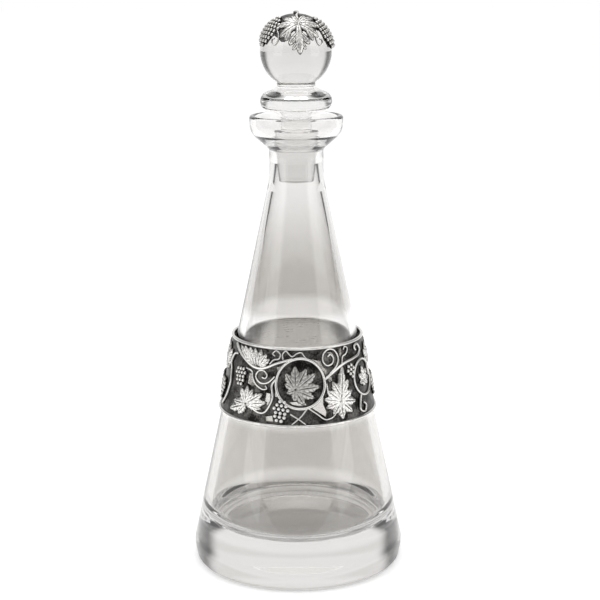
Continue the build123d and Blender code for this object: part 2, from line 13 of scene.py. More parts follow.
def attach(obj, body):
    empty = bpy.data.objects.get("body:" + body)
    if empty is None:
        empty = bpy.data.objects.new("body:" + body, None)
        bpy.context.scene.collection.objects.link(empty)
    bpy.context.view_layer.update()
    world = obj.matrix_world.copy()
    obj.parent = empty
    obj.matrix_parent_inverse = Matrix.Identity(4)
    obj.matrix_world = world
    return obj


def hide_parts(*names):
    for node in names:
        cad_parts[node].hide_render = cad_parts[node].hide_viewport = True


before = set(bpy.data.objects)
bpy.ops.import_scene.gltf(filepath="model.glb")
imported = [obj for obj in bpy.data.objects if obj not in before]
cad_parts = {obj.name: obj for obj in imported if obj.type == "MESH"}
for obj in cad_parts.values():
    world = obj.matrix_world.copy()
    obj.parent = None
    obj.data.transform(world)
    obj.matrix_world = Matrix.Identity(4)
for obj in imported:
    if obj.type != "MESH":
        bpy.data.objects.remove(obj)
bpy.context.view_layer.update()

MM = 0.001

# %% [markdown]
# The driving sizes of the glass and its mounts are the frame's own, in millimetres. Everything that is
# turned, laid or coloured further down takes its place from them.

# %% Sizes
FLANK_RADIUS, FLANK_SLOPE, FLANK_WALL, FLANK_THICKENING = 65.0, 0.216, 3.6, 0.0102
FOOT_RADIUS, FOOT_ROUNDING, HEEL_HEIGHT, HEEL_ROUNDING = 60.9, 4.5, 11.0, 16.0
HOLLOW_RADIUS, HOLLOW_DEPTH, FLOOR_HEIGHT, FLOOR_ROUNDING = 50.0, 1.0, 24.0, 11.0
NECK_RADIUS, NECK_TOP, NECK_ROUNDING, FLARE_ROUNDING = 15.6, 245.6, 55.0, 3.0
COLLAR_RADIUS, COLLAR_FLARE_TOP, COLLAR_TOP, COLLAR_ROUNDING = 26.9, 255.0, 264.7, 9.0
LIP_WIDTH, LIP_ROUNDING = 3.2, 1.45
CUP_FLOOR, CUP_RISE, CUP_WALL, CUP_ROUNDING = 247.9, 8.5, 3.9, 7.0
PLUG_RADIUS, PLUG_TAPER, PLUG_BOTTOM, PLUG_TOP, PLUG_ROUNDING = 9.8, 0.1125, 227.0, 254.6, 0.8
SEAT_BOTTOM, SEAT_CLEARANCE, SEAT_FOOT_ROUNDING = 238.0, 0.05, 5.5
SHANK_RADIUS, DISC_RADIUS, DISC_BOTTOM, DISC_TOP = 8.9, 20.4, 263.9, 280.7
DISC_EDGE_LOW, DISC_EDGE_HIGH, DISC_EDGE_ROUNDING = 269.2, 276.2, 5.0
BALL_RADIUS, BALL_CENTRE, STOPPER_NECK_RADIUS = 20.3, 300.5, 10.9
BAND_BOTTOM, BAND_HEIGHT, BAND_SLOPE, BAND_CEMENT, SLEEVE = 93.0, 45.0, 0.19, 0.25, 0.9
CAP_CEMENT, CAP_SHEET = 0.15, 0.6
NECK_FOOT = (FLANK_RADIUS - NECK_RADIUS) / FLANK_SLOPE
SHOULDER = NECK_FOOT - 7.2


def flank(z):
    """Radius of the straight outer cone at a height."""
    return FLANK_RADIUS - FLANK_SLOPE * z


def plug(z):
    """Radius of the stopper's ground taper at a height."""
    return PLUG_RADIUS + PLUG_TAPER * (z - PLUG_BOTTOM)


def sleeve_outer(z):
    """Outer radius of the band's sleeve at a height."""
    return flank(BAND_BOTTOM) + BAND_CEMENT - BAND_SLOPE * (z - BAND_BOTTOM) + SLEEVE


print("the cone meets the neck at", round(NECK_FOOT, 1), "mm")

# %% [markdown]
# Shader maths reads best as ordinary sums. Signal wraps one output socket, so that a - b * c adds the
# Math nodes by itself. Finish is a material with one method, add, that makes any other node.
# The alternative, placing and linking each Math node by hand, hides the idea behind the wiring.

# %% A small language for materials
OBJECT_NORMAL, OBJECT_PLACE = 1, 3  # outputs of the Texture Coordinate node


class Signal:
    """One output socket of a material's nodes, which can be used in sums."""

    def __init__(self, finish, socket):
        self.finish, self.socket = finish, socket

    def math(self, operation, *others):
        inputs = dict(enumerate([self, *others]))
        return self.finish.add("ShaderNodeMath", {"operation": operation}, inputs)

    def __add__(self, other):
        return self.math("ADD", other)

    def __sub__(self, other):
        return self.math("SUBTRACT", other)

    def __mul__(self, other):
        return self.math("MULTIPLY", other)

    def __rsub__(self, other):
        return (self * -1.0) + other

    __radd__, __rmul__ = __add__, __mul__

    def limited(self):
        """The same between 0 and 1."""
        return self.math("MINIMUM", 1.0).math("MAXIMUM", 0.0)


class Finish:
    """A material and the nodes that make it."""

    def __init__(self, name):
        self.material = bpy.data.materials.new(name)
        self.material.use_nodes = True
        self.tree = self.material.node_tree
        self.shader = self.tree.nodes["Principled BSDF"]

    def add(self, kind, settings=None, inputs=None, output=0):
        node = self.tree.nodes.new(kind)
        for name, value in (settings or {}).items():
            if name == "stops":
                stretch(node.color_ramp, value)
            else:
                setattr(node, name, value)
        for key, value in (inputs or {}).items():
            self.feed(node.inputs[key], value)
        return Signal(self, node.outputs[output])

    def feed(self, socket, value):
        if isinstance(value, Signal):
            self.tree.links.new(value.socket, socket)
        else:
            socket.default_value = value

    def set(self, **values):
        """Values or signals for the shader's own sockets, with _ for a space."""
        for name, value in values.items():
            self.feed(self.shader.inputs[name.replace("_", " ")], value)


def stretch(ramp, stops):
    """Give a colour ramp these (position, colour) stops."""
    while len(ramp.elements) < len(stops):
        ramp.elements.new(0.5)
    for element, (position, colour) in zip(ramp.elements, stops):
        element.position, element.color = position, (*colour, 1.0)


def grain(finish, size, detail=3.0):
    """Cloudy noise with clouds about this many millimetres across, from 0 to 1."""
    where = finish.add("ShaderNodeTexCoord", output=OBJECT_PLACE)
    scale = 1 / (size * MM)
    return finish.add("ShaderNodeTexNoise", {}, {"Vector": where, "Scale": scale, "Detail": detail})


def bump(finish, height, depth):
    """A Normal signal that raises the surface by depth millimetres where height is 1."""
    inputs = {"Height": height, "Distance": depth * MM, "Strength": 1.0}
    return finish.add("ShaderNodeBump", {}, inputs)


def blend(finish, mask, low, high):
    """A colour that goes from low to high with the mask."""
    inputs = {0: mask, 6: (*low, 1.0), 7: (*high, 1.0)}
    return finish.add("ShaderNodeMix", {"data_type": "RGBA"}, inputs, output=2)


def height_above(finish):
    """How far up the piece's own z axis, in metres."""
    where = finish.add("ShaderNodeTexCoord", output=OBJECT_PLACE)
    return finish.add("ShaderNodeSeparateXYZ", {}, {0: where}, output=2)


def smooth_step(finish, value, start, end):
    """0 below start, 1 above end and smooth between, both in the value's own unit."""
    settings = {"interpolation_type": "SMOOTHSTEP"}
    return finish.add("ShaderNodeMapRange", settings, {0: value, 1: start, 2: end})


def between(finish, height, rise, fall, stays=0.0):
    """1 from the end of the rise to the start of the fall, in millimetres up. Above, stays is left."""
    rising = smooth_step(finish, height, *[z * MM for z in rise])
    falling = smooth_step(finish, height, *[z * MM for z in fall])
    return rising - falling * (1.0 - stays)


print("Signal and Finish are ready")

# %% [markdown]
# The glass is cast and polished, a little grey, with very slight waves. The shader's own transmission
# bends light through the real wall, so the mesh is a closed solid with both faces. Light crosses four
# faces in the body, eight behind the band and where the plug sits in the neck, and more over the shelf
# at the bottom of the inside, so the grey is set for each: strongest in the body. The plug and its seat
# are ground.

# %% Glass
SMOKY, CLEAR = (0.645, 0.63, 0.61), (0.935, 0.93, 0.925)
GLASS_IOR, GROUND_ROUGHNESS = 1.5, 0.16
SWIRL_SIZE, WAVE_DEPTH = 38.0, 0.02
NECK_PALE, SHELF_PALE, BALL_SHARE = 0.78, 0.8, 0.4
NECK_RISE, NECK_FALL = (165, 225), (284, 296)
SHELF_RISE, SHELF_FALL = (FLOOR_HEIGHT - 3, FLOOR_HEIGHT + 1), (FLOOR_HEIGHT + 6, FLOOR_HEIGHT + 14)
BAND_TOP = BAND_BOTTOM + BAND_HEIGHT
BEHIND_RISE, BEHIND_FALL = (BAND_BOTTOM - 5, BAND_BOTTOM + 1), (BAND_TOP + 10, BAND_TOP + 18)


def glass(name, roughness):
    finish = Finish(name)
    swirl = grain(finish, SWIRL_SIZE, detail=1.0)
    height = height_above(finish)
    neck = between(finish, height, NECK_RISE, NECK_FALL, stays=BALL_SHARE)
    shelf = between(finish, height, SHELF_RISE, SHELF_FALL)
    behind_band = between(finish, height, BEHIND_RISE, BEHIND_FALL)
    pale = neck * NECK_PALE + shelf * SHELF_PALE + behind_band + swirl * 0.06
    tint = blend(finish, pale.limited(), SMOKY, CLEAR)
    finish.set(Base_Color=tint, Metallic=0.0, IOR=GLASS_IOR, Transmission_Weight=1.0)
    finish.set(Roughness=swirl * 0.004 + roughness, Normal=bump(finish, swirl, WAVE_DEPTH))
    return finish.material


clear_glass = glass("clear_glass", 0.0)
ground_glass = glass("ground_glass", GROUND_ROUGHNESS)
print("glass:", clear_glass.name, ground_glass.name)

# %% [markdown]
# Antiqued pewter is blackened all over and then rubbed, so it is bright where a cloth reaches and
# nearly black in the hollows. Each sculpted piece carries that as a number on every point, called
# rubbed, which its own mesh code works out from the height. The material only turns the number into
# colour and gloss and breaks it up with fine grain. Occlusion could find the hollows too, but it
# would miss the cut veins of the leaves, which are shallower than its rays can tell.

# %% Pewter
BLACK, GREY = (0.012, 0.011, 0.010), (0.30, 0.29, 0.275)
BRIGHT, POLISHED = (0.70, 0.69, 0.67), (0.88, 0.87, 0.85)
RUBBING = [(0.14, BLACK), (0.45, GREY), (0.75, BRIGHT), (1.0, POLISHED)]
DULL_ROUGHNESS, RUBBED_SMOOTHER, FINE_GRAIN = 0.44, 0.2, 0.9
CAST_GRAIN_DEPTH, SHEET_GRAIN_DEPTH, TURNED_LINES = 0.05, 0.10, 1.5


def pewter(name, rubbed_from, grain_depth=CAST_GRAIN_DEPTH):
    """Pewter whose brightness comes from rubbed_from(finish), a signal from 0 to 1."""
    finish = Finish(name)
    fine = grain(finish, FINE_GRAIN, detail=4.0)
    rubbed = (rubbed_from(finish) + (fine - 0.5) * 0.3).limited()
    colour = finish.add("ShaderNodeValToRGB", {"stops": RUBBING}, {0: rubbed})
    finish.set(Base_Color=colour, Metallic=1.0, Roughness=DULL_ROUGHNESS - rubbed * RUBBED_SMOOTHER)
    finish.set(Normal=bump(finish, fine, grain_depth))
    return finish.material


def carved(finish):
    """The number that the mesh code leaves on every point of a sculpted piece."""
    return finish.add("ShaderNodeAttribute", {"attribute_name": "rubbed"}, output=2)


def inside_or_black(finish):
    """Dark outside, where the vine stands, and polished on the inner face, with turned lines."""
    where = finish.add("ShaderNodeTexCoord", output=OBJECT_PLACE)
    facing = finish.add("ShaderNodeTexCoord", output=OBJECT_NORMAL)
    flat = finish.add("ShaderNodeVectorMath", {"operation": "MULTIPLY"}, {0: where, 1: (1, 1, 0)})
    outward = finish.add("ShaderNodeVectorMath", {"operation": "DOT_PRODUCT"}, {0: flat, 1: facing}, 1)
    inner = smooth_step(finish, outward * -1.0, -MM, MM)
    lines = (height_above(finish) * (2 * math.pi / (TURNED_LINES * MM))).math("SINE") * 0.10
    return grain(finish, 6.0) * 0.42 - 0.02 + inner * (lines + 0.78)


def worn_wire(finish):
    """Rubbed nearly all over, a little less in patches."""
    return grain(finish, 4.0) * 0.4 + 0.55


relief_pewter = pewter("relief_pewter", carved)
sleeve_pewter = pewter("sleeve_pewter", inside_or_black, SHEET_GRAIN_DEPTH)
wire_pewter = pewter("wire_pewter", worn_wire)
print("pewter:", relief_pewter.name, sleeve_pewter.name, wire_pewter.name)

# %% [markdown]
# The cement under the pewter sets clear and hard. It hardly shows, but it is a real piece, so it gets
# a finish of its own: faintly yellow, with small trapped bubbles.

# %% Cement
BUBBLE_SIZE, BUBBLE_DEPTH = 0.8, 0.05
YELLOWED, FRESH = (0.80, 0.78, 0.70), (0.90, 0.89, 0.83)


def dress(node, material):
    """Give a node of the frame, whose shape stays, its finish."""
    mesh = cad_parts[node].data
    mesh.materials.clear()
    mesh.materials.append(material)
    mesh.polygons.foreach_set("material_index", [0] * len(mesh.polygons))


cement = Finish("clear_cement")
bubbles = cement.add("ShaderNodeTexVoronoi", {}, {"Scale": 1 / (BUBBLE_SIZE * MM)})
cement_colour = blend(cement, bubbles.limited(), YELLOWED, FRESH)
cement.set(Base_Color=cement_colour, Roughness=0.25, IOR=1.5)
cement.set(Normal=bump(cement, bubbles, BUBBLE_DEPTH))
dress("band_cement", cement.material)
dress("cap_cement", cement.material)
print("cement on 2 nodes")

# %% [markdown]
# The glass is a turned shape: an outline spun round the axis. The outline is written as a few corners,
# each with the radius of its rounding, as a designer would dimension it, and the arcs are worked out.
# A curve with a Screw modifier would spin it as well, but here the outline also has to say which
# stretch is ground, so the mesh is made directly.

# %% Turned shapes
ARC_STEP, TURNED_SEGMENTS = math.radians(5), 288


def rounded(corners):
    """Points along (radius, height, rounding) corners, with each rounding drawn as an arc."""
    points = [corners[0][:2]]
    for before, corner, after in zip(corners, corners[1:], corners[2:]):
        here, rounding = Vector(corner[:2]), corner[2]
        back = (Vector(before[:2]) - here).normalized()
        on = (Vector(after[:2]) - here).normalized()
        turn = math.pi - back.angle(on)
        if not rounding:
            points.append(tuple(here))
            continue
        start = here + back * rounding * math.tan(turn / 2)
        centre = here + (back + on).normalized() * rounding / math.cos(turn / 2)
        spoke = start - centre
        sign = 1 if back.x * on.y - back.y * on.x < 0 else -1
        count = max(3, math.ceil(turn / ARC_STEP))
        for n in range(count + 1):
            angle = sign * turn * n / count
            cos, sin = math.cos(angle), math.sin(angle)
            points.append((centre.x + spoke.x * cos - spoke.y * sin,
                           centre.y + spoke.x * sin + spoke.y * cos))
    return points + [corners[-1][:2]]


def new_piece(name, vertices, faces, materials, smooth=True):
    """A mesh object from points in millimetres."""
    mesh = bpy.data.meshes.new(name)
    mesh.from_pydata([Vector(v) * MM for v in vertices], [], faces)
    for material in materials:
        mesh.materials.append(material)
    if smooth:
        mesh.shade_smooth()
    piece = bpy.data.objects.new(name, mesh)
    bpy.context.scene.collection.objects.link(piece)
    return piece


def turned(name, outline, is_ground):
    """Spin an outline that starts and ends on the axis. is_ground(radius, height) picks ground glass."""
    rows = outline[1:-1]
    vertices = [(0, 0, outline[0][1])]
    for r, z in rows:
        for n in range(TURNED_SEGMENTS):
            angle = 2 * math.pi * n / TURNED_SEGMENTS
            vertices.append((r * math.cos(angle), r * math.sin(angle), z))
    vertices.append((0, 0, outline[-1][1]))
    starts = [1 + k * TURNED_SEGMENTS for k in range(len(rows))]
    last, faces, picks = len(vertices) - 1, [], []
    for n in range(TURNED_SEGMENTS):
        m = (n + 1) % TURNED_SEGMENTS
        faces.append((0, 1 + m, 1 + n))
        picks.append(0)
        for a, b, (r0, z0), (r1, z1) in zip(starts, starts[1:], rows, rows[1:]):
            faces.append((a + n, a + m, b + m, b + n))
            picks.append(int(is_ground((r0 + r1) / 2, (z0 + z1) / 2)))
        faces.append((starts[-1] + n, starts[-1] + m, last))
        picks.append(0)
    piece = new_piece(name, vertices, faces, [clear_glass, ground_glass])
    piece.data.polygons.foreach_set("material_index", picks)
    return piece


def stand_in(piece, body, node):
    """Say which body a piece rides on and which node it replaces, which is hidden."""
    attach(piece, body)
    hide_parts(node)


print("outlines can be rounded and turned")

# %% [markdown]
# The body is cast thick at the foot and thin at the neck. Its outline runs from the hollow under the
# foot up the outside, over the lip, down into the cup and the ground seat, and along the inner wall to
# the floor. The straight flank, the long curve into the neck and the thick floor make its character.

# %% The body
def seat(z):
    """Radius of the neck's ground seat at a height."""
    return plug(z) + SEAT_CLEARANCE


def in_seat(r, z):
    """Whether a point of the body's outline is on the ground seat."""
    return r < seat(CUP_FLOOR) + 0.4 and SEAT_BOTTOM + 1.0 < z < CUP_FLOOR - 0.5


inner_floor = flank(FLOOR_HEIGHT) - FLANK_WALL - FLANK_THICKENING * (SHOULDER - FLOOR_HEIGHT)
outside = [
    (0, HOLLOW_DEPTH, 0), (HOLLOW_RADIUS, HOLLOW_DEPTH, HOLLOW_DEPTH),
    (HOLLOW_RADIUS + HOLLOW_DEPTH, 0, HOLLOW_DEPTH / 2), (FOOT_RADIUS, 0, FOOT_ROUNDING),
    (flank(HEEL_HEIGHT), HEEL_HEIGHT, HEEL_ROUNDING), (NECK_RADIUS, NECK_FOOT, NECK_ROUNDING),
    (NECK_RADIUS, NECK_TOP, FLARE_ROUNDING),
    (COLLAR_RADIUS - LIP_ROUNDING / 2, COLLAR_FLARE_TOP, COLLAR_ROUNDING),
    (COLLAR_RADIUS, COLLAR_TOP, LIP_ROUNDING),
]
inside = [
    (COLLAR_RADIUS - LIP_WIDTH, COLLAR_TOP, LIP_ROUNDING),
    (COLLAR_RADIUS - CUP_WALL, CUP_FLOOR + CUP_RISE, CUP_ROUNDING),
    (seat(CUP_FLOOR), CUP_FLOOR, LIP_ROUNDING / 2), (seat(SEAT_BOTTOM), SEAT_BOTTOM, SEAT_FOOT_ROUNDING),
    (flank(SHOULDER) - FLANK_WALL, SHOULDER, FLARE_ROUNDING),
    (inner_floor, FLOOR_HEIGHT, FLOOR_ROUNDING), (0, FLOOR_HEIGHT, 0),
]
body_outline = rounded(outside + inside)
stand_in(turned("glass_body", body_outline, in_seat), "decanter", "vessel")
print("body outline:", len(body_outline), "points")

# %% [markdown]
# The stopper is one piece of glass: a ground plug, a short shank, a round-edged disc, a neck and a
# ball. The ball's outline is a true arc, because it works as a lens and any flat would show.

# %% The stopper
BALL_STEPS = 60


def on_plug(r, z):
    """Whether a point of the stopper's outline is on the ground plug."""
    return PLUG_BOTTOM + 1.0 < z < PLUG_TOP - 0.4


ball_foot = BALL_CENTRE - math.sqrt(BALL_RADIUS ** 2 - STOPPER_NECK_RADIUS ** 2)
stopper_outline = rounded([
    (0, PLUG_BOTTOM, 0), (PLUG_RADIUS, PLUG_BOTTOM, PLUG_ROUNDING),
    (plug(PLUG_TOP), PLUG_TOP, PLUG_ROUNDING), (SHANK_RADIUS, PLUG_TOP + PLUG_ROUNDING, PLUG_ROUNDING),
    (SHANK_RADIUS, DISC_BOTTOM, 2 * PLUG_ROUNDING), (DISC_RADIUS, DISC_EDGE_LOW, DISC_EDGE_ROUNDING),
    (DISC_RADIUS, DISC_EDGE_HIGH, DISC_EDGE_ROUNDING),
    (STOPPER_NECK_RADIUS, DISC_TOP, 2 * PLUG_ROUNDING), (STOPPER_NECK_RADIUS, ball_foot, 0),
])
lowest = math.asin((ball_foot - BALL_CENTRE) / BALL_RADIUS)
for n in range(1, BALL_STEPS):
    angle = lowest + (math.pi / 2 - lowest) * n / BALL_STEPS
    stopper_outline.append((BALL_RADIUS * math.cos(angle), BALL_CENTRE + BALL_RADIUS * math.sin(angle)))
stopper_outline.append((0, BALL_CENTRE + BALL_RADIUS))
stand_in(turned("glass_stopper", stopper_outline, on_plug), "stopper", "stopper")
print("stopper outline:", len(stopper_outline), "points")

# %% [markdown]
# The ornament is drawn flat, in millimetres, and then laid on the pewter. A ground is a function from
# a flat point and a lift to a point in space: one for the band's cone, and one for each drawing on the
# ball. So one leaf, one stem and one bunch of grapes serve both mounts. Sculpting in place would give
# the same look, but nothing could be moved afterwards.

# %% The two grounds
BAND_MIDDLE = sleeve_outer(BAND_BOTTOM + BAND_HEIGHT / 2)
CAP_GROUND = BALL_RADIUS + CAP_CEMENT + CAP_SHEET


def on_band(arc, height, lift):
    """A point of the band: arc from the front along its middle, height above its lower edge."""
    angle, z = arc / BAND_MIDDLE, BAND_BOTTOM + height + lift * BAND_SLOPE
    r = sleeve_outer(BAND_BOTTOM + height) + lift
    return (r * math.sin(angle), -r * math.cos(angle), z)


def on_ball(tilt, heading):
    """The ground for a drawing whose middle is tilt degrees down the ball, at a heading."""
    lean, way = math.radians(tilt), math.radians(heading)
    out = Vector((math.sin(lean) * math.sin(way), -math.sin(lean) * math.cos(way), math.cos(lean)))
    side = Vector((math.cos(way), math.sin(way), 0))
    up = out.cross(side)

    def ground(x, y, lift):
        reach = math.hypot(x, y)
        bend = reach / BALL_RADIUS
        ahead = (side * x + up * y) / reach if reach else side
        outward = out * math.cos(bend) + ahead * math.sin(bend)
        return tuple(outward * (CAP_GROUND + lift) + Vector((0, 0, BALL_CENTRE)))

    return ground


print("grounds: band middle radius", round(BAND_MIDDLE, 2), "cap radius", round(CAP_GROUND, 2))

# %% [markdown]
# Every sculpted piece collects its points, its faces and the rubbed number of each point, and becomes
# one mesh at the end. A vine of many stems is then a single piece, as a caster would make it.

# %% Collecting a relief
ROOTED = -0.2  # how far under the ground's surface the sculpted edges end


class Relief:
    """The points, faces and rubbed numbers of one sculpted piece."""

    def __init__(self, ground):
        self.ground = ground
        self.points, self.rubbed, self.faces = [], [], []

    def point(self, x, y, lift, rubbed):
        self.points.append(self.ground(x, y, lift))
        self.rubbed.append(rubbed)
        return len(self.points) - 1

    def quads(self, first, second):
        """Faces between two closed rings of points."""
        for n in range(len(first)):
            m = (n + 1) % len(first)
            self.faces.append((first[n], first[m], second[m], second[n]))

    def fan(self, ring, middle):
        """Faces from a closed ring of points to one point in its middle."""
        for n in range(len(ring)):
            self.faces.append((ring[n], ring[(n + 1) % len(ring)], middle))


def finish_relief(relief, name, body, node, half_turn=False):
    """Make the piece, turned half round the axis where it repeats one in front."""
    points = relief.points
    if half_turn:
        points = [(-x, -y, z) for x, y, z in points]
    piece = new_piece(name, points, relief.faces, [relief_pewter])
    attribute = piece.data.attributes.new("rubbed", "FLOAT", "POINT")
    attribute.data.foreach_set("value", relief.rubbed)
    stand_in(piece, body, node)


def front_and_back(relief, name, node):
    """The ornament repeats after half a turn, so each piece of the band is made twice."""
    for side in ("front", "back"):
        finish_relief(relief, f"{name}_{side}", "decanter", f"{node}_{side}", side == "back")


print("reliefs can be collected")

# %% [markdown]
# A stem is a half-round wire that follows a smooth route and tapers. The route is a few chosen points,
# and a Catmull-Rom curve passes through them all. Its crown is rubbed bright and its sides stay dark,
# which is what makes the thin wires readable on the dark ground.

# %% Stems
STEM_SIDES, STEPS_BETWEEN = 12, 6


def smooth_route(points):
    """A Catmull-Rom curve through the points."""
    padded = [points[0], *points, points[-1]]
    route = []
    for a, b, c, d in zip(padded, padded[1:], padded[2:], padded[3:]):
        for n in range(STEPS_BETWEEN):
            t = n / STEPS_BETWEEN
            route.append(tuple(
                0.5 * (2 * q + (r - p) * t + (2 * p - 5 * q + 4 * r - s) * t * t
                       + (3 * q - p - 3 * r + s) * t ** 3)
                for p, q, r, s in zip(a, b, c, d)))
    return route + [points[-1]]


def add_stem(relief, points, start, end, height, closed=False):
    """Lay a tapering wire along the route, start and end wide, standing height above the ground."""
    route = points if closed else smooth_route(points)
    rings = []
    for n, (x, y) in enumerate(route):
        if closed:
            ahead, behind = route[(n + 1) % len(route)], route[n - 1]
        else:
            ahead, behind = route[min(n + 1, len(route) - 1)], route[max(n - 1, 0)]
        along = Vector((ahead[0] - behind[0], ahead[1] - behind[1])).normalized()
        half = (start + (end - start) * n / (len(route) - 1)) / 2
        ring = []
        for k in range(STEM_SIDES):
            angle = 2 * math.pi * k / STEM_SIDES
            off, lift = half * math.cos(angle), max(height * math.sin(angle), ROOTED)
            rubbed = 0.02 + 0.88 * max(0.0, math.sin(angle)) ** 1.4
            ring.append(relief.point(x - along.y * off, y + along.x * off, lift, rubbed))
        rings.append(ring)
    for first, second in zip(rings, rings[1:]):
        relief.quads(second, first)
    if closed:
        relief.quads(rings[0], rings[-1])
    else:
        for ring, end_point in ((rings[0], route[0]), (rings[-1][::-1], route[-1])):
            relief.fan(ring, relief.point(*end_point, height * 0.5, 0.5))


# %% [markdown]
# A leaf is a fan of lobes that overlap at its stalk, each a cushion of its own. So the gaps between the
# lobes stay dark, as on the real mount, and any leaf is only a list of roots and tips. A lobe's height
# rises to a crown and falls in a groove along its vein, in finer grooves that run off it, and at its
# toothed edge, and its rubbed number follows the height.

# %% Lobes
# The half width of a lobe, as a share of its greatest, at shares of the way to its tip.
POINTED = [(0, 0.5), (0.22, 0.86), (0.46, 1.0), (0.68, 0.8), (0.87, 0.44), (1, 0.05)]
ROUNDED = [(0, 0.3), (0.25, 0.75), (0.55, 1.0), (0.8, 0.86), (0.94, 0.5), (1, 0.12)]
LOBE_STEPS, LOBE_COLUMNS, TEETH = 30, 14, 4
VEIN_WIDTH, BRANCH_SPACING, BRANCH_WIDTH = 0.10, 2.3, 0.15


def width_at(edge, t):
    """The edge's half width, t of the way to the tip."""
    for (t0, w0), (t1, w1) in zip(edge, edge[1:]):
        if t <= t1:
            share = (t - t0) / (t1 - t0)
            return w0 + (w1 - w0) * share
    return edge[-1][1]


def lobe_surface(t, s, half, length):
    """Height and rubbed number of a lobe, t of the way to its tip and s of the way to its edge."""
    away, across = abs(s), abs(s) * half
    vein = math.exp(-(across / (VEIN_WIDTH + 0.24 * (1 - t))) ** 2)
    off_branch = ((t * length - across * 0.9) / BRANCH_SPACING) % 1.0 - 0.5
    branch = math.exp(-(off_branch / BRANCH_WIDTH) ** 2) * min(1.0, away * 3) * (1 - away * 0.6)
    crown = math.cos(away * math.pi / 2) ** 0.75
    end = min(1.0, (1 - t) * 6, 0.45 + t * 3)
    height = (0.16 + 0.84 * crown) * (1 - 0.5 * vein) * (1 - 0.25 * branch) * (0.6 + 0.4 * end)
    rubbed = (1.30 * crown - 0.08) * (1 - 0.95 * vein) * (1 - 0.7 * branch) * (0.4 + 0.6 * end)
    return height, max(0.0, min(0.9, rubbed))


def add_lobe(relief, root, tip, half, thickness, edge=POINTED, level=1.0):
    """One lobe from root to tip, twice half wide at its widest, standing thickness high."""
    dx, dy = tip[0] - root[0], tip[1] - root[1]
    length = math.hypot(dx, dy)

    def spot(t, s, reach):
        return root[0] + dx * t - dy / length * reach * s, root[1] + dy * t + dx / length * reach * s

    rings = []
    for k in range(LOBE_STEPS + 1):
        t = k / LOBE_STEPS
        reach = half * width_at(edge, t)
        if edge is POINTED and t < 0.93:
            reach *= 0.78 + 0.34 * ((t * TEETH) % 1.0)
        ring = []
        for n in range(LOBE_COLUMNS + 1):
            s = 2 * n / LOBE_COLUMNS - 1
            height, rubbed = lobe_surface(t, s, reach, length)
            ring.append(relief.point(*spot(t, s, reach), thickness * height, rubbed * level))
        for s in (1, -1):
            ring.append(relief.point(*spot(t, s, reach), ROOTED, 0.0))
        rings.append(ring)
    for first, second in zip(rings, rings[1:]):
        relief.quads(second, first)
    relief.fan(rings[0], relief.point(*root, thickness * 0.3, 0.0))
    relief.fan(rings[-1][::-1], relief.point(*tip, 0.1, 0.1))


def spread(stalk, turn, length):
    """The seven lobes of an ordinary leaf that is turned from upright."""
    lobes = []
    for away, reach, half in ((0, 1.0, 0.27), (44, 0.84, 0.25), (-44, 0.84, 0.25), (90, 0.66, 0.23),
                              (-90, 0.66, 0.23), (140, 0.46, 0.2), (-140, 0.46, 0.2)):
        angle = math.radians(turn + away)
        tip = (stalk[0] - math.sin(angle) * reach * length, stalk[1] + math.cos(angle) * reach * length)
        lobes.append((stalk, tip, half * length))
    return lobes


print("stems and lobes can be laid")

# %% [markdown]
# Grapes are near-round beads that touch, in rows that narrow to a point. Each is a small sphere that
# stands on the ground, bright on top and black where it meets its neighbours.

# %% Grapes
BERRY_SIDES, BERRY_RINGS, BERRY_REACH = 16, 8, math.pi * 0.78
ROW_STEP = math.sqrt(0.75)


def berry_places(rows, spacing):
    """The centres of a bunch's berries, row by row from the top."""
    places = []
    for n, count in enumerate(rows):
        for k in range(count):
            places.append(((k - (count - 1) / 2) * spacing, -n * spacing * ROW_STEP))
    return places


def add_berry(relief, x, y, radius, lift):
    """A bead whose centre stands lift above the ground."""
    rings = []
    for k in range(1, BERRY_RINGS + 1):
        down = BERRY_REACH * k / BERRY_RINGS
        r, z = radius * math.sin(down), lift + radius * math.cos(down)
        rubbed = 0.9 * max(0.0, math.cos(down * 0.9)) ** 1.6
        ring = []
        for n in range(BERRY_SIDES):
            angle = 2 * math.pi * n / BERRY_SIDES
            ring.append(relief.point(x + r * math.cos(angle), y + r * math.sin(angle), z, rubbed))
        rings.append(ring)
    relief.fan(rings[0], relief.point(x, y, lift + radius, 1.0))
    for upper, lower in zip(rings, rings[1:]):
        relief.quads(lower, upper)
    relief.fan(rings[-1][::-1], relief.point(x, y, lift + radius * math.cos(BERRY_REACH), 0.0))


def add_bunch(relief, top, turn, rows, radius, spacing, lift):
    """Rows of berries that hang from top, the whole bunch turned."""
    cos, sin = math.cos(math.radians(turn)), math.sin(math.radians(turn))
    for x, y in berry_places(rows, spacing):
        centre = top[0] + x * cos - y * sin, top[1] + x * sin + y * cos
        add_berry(relief, *centre, radius, lift)


print("grapes can be laid")

# %% [markdown]
# The band's vine: one stem waves along the whole band, ring tendrils frame a leaf, and thin wires curl
# into spirals. The drawing covers half of the band and is repeated behind.

# %% The band's vine
STEM_HEIGHT, RING_HEIGHT, TENDRIL_HEIGHT, TENDRIL_TAPER, RING_POINTS = 1.25, 1.15, 0.95, 0.8, 72
